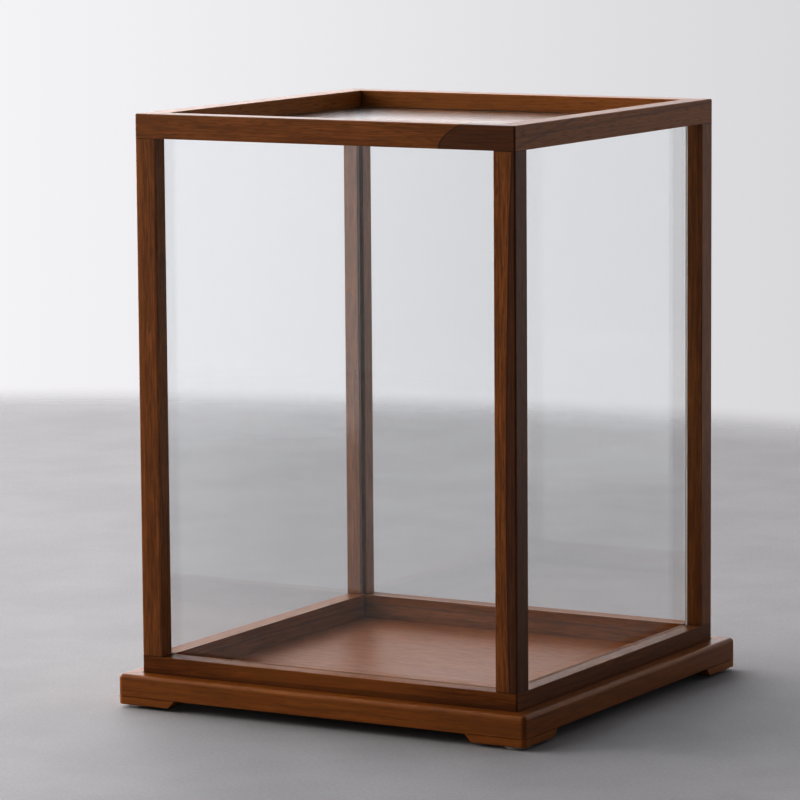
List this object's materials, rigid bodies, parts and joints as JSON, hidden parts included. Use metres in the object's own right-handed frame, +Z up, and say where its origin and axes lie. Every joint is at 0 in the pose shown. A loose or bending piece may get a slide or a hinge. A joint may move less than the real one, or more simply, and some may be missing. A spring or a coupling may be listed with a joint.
{
  "type": "display case",
  "caption": "Table-top display case: a wooden frame glazed on its sides and top, which lifts off a low wooden base on corner feet.",
  "frame": {"origin": "middle of the footprint, at the level of the surface that the case stands on", "axes": "+Z up, -Y towards the front, +X to the right as seen from the front"},
  "size_m": [0.326, 0.326, 0.4187],
  "materials": {
    "cover_wood": "satin lacquer over red-brown hardwood",
    "base_wood": "satin lacquer over red-brown hardwood",
    "floor_wood": "satin lacquer over red-brown veneer",
    "inner_wood": "bare pale hardwood",
    "glass": "clear float glass",
    "pad": "matt pale grey"
  },
  "bodies": {
    "base": {"base_border_front": "base_wood", "base_border_right": "base_wood", "base_border_back": "base_wood", "base_border_left": "base_wood", "base_tongue_front_left": "inner_wood", "base_tongue_front_right": "inner_wood", "base_tongue_back_right": "inner_wood", "base_tongue_back_left": "inner_wood", "floor_panel": "floor_wood", "foot_block_front_left": "base_wood", "foot_block_front_right": "base_wood", "foot_block_back_right": "base_wood", "foot_block_back_left": "base_wood", "foot_pad_front_left": "pad", "foot_pad_front_right": "pad", "foot_pad_back_right": "pad", "foot_pad_back_left": "pad"},
    "cover": {"cover_top_rail_front": "cover_wood", "cover_top_rail_right": "cover_wood", "cover_top_rail_back": "cover_wood", "cover_top_rail_left": "cover_wood", "cover_bottom_rail_front": "cover_wood", "cover_bottom_rail_right": "cover_wood", "cover_bottom_rail_back": "cover_wood", "cover_bottom_rail_left": "cover_wood", "corner_post_front_left": "cover_wood", "corner_post_front_right": "cover_wood", "corner_post_back_right": "cover_wood", "corner_post_back_left": "cover_wood", "post_dowel_top_front_left": "inner_wood", "post_dowel_top_front_right": "inner_wood", "post_dowel_top_back_right": "inner_wood", "post_dowel_top_back_left": "inner_wood", "post_dowel_bottom_front_left": "inner_wood", "post_dowel_bottom_front_right": "inner_wood", "post_dowel_bottom_back_right": "inner_wood", "post_dowel_bottom_back_left": "inner_wood", "side_glass_front": "glass", "side_glass_right": "glass", "side_glass_back": "glass", "side_glass_left": "glass", "top_glass": "glass"}
  },
  "joints": [
    {"name": "cover_lift", "type": "slide", "parent": "base", "child": "cover", "axis": [0, 0, 1], "range_m": [0, 0.42]}
  ]
}
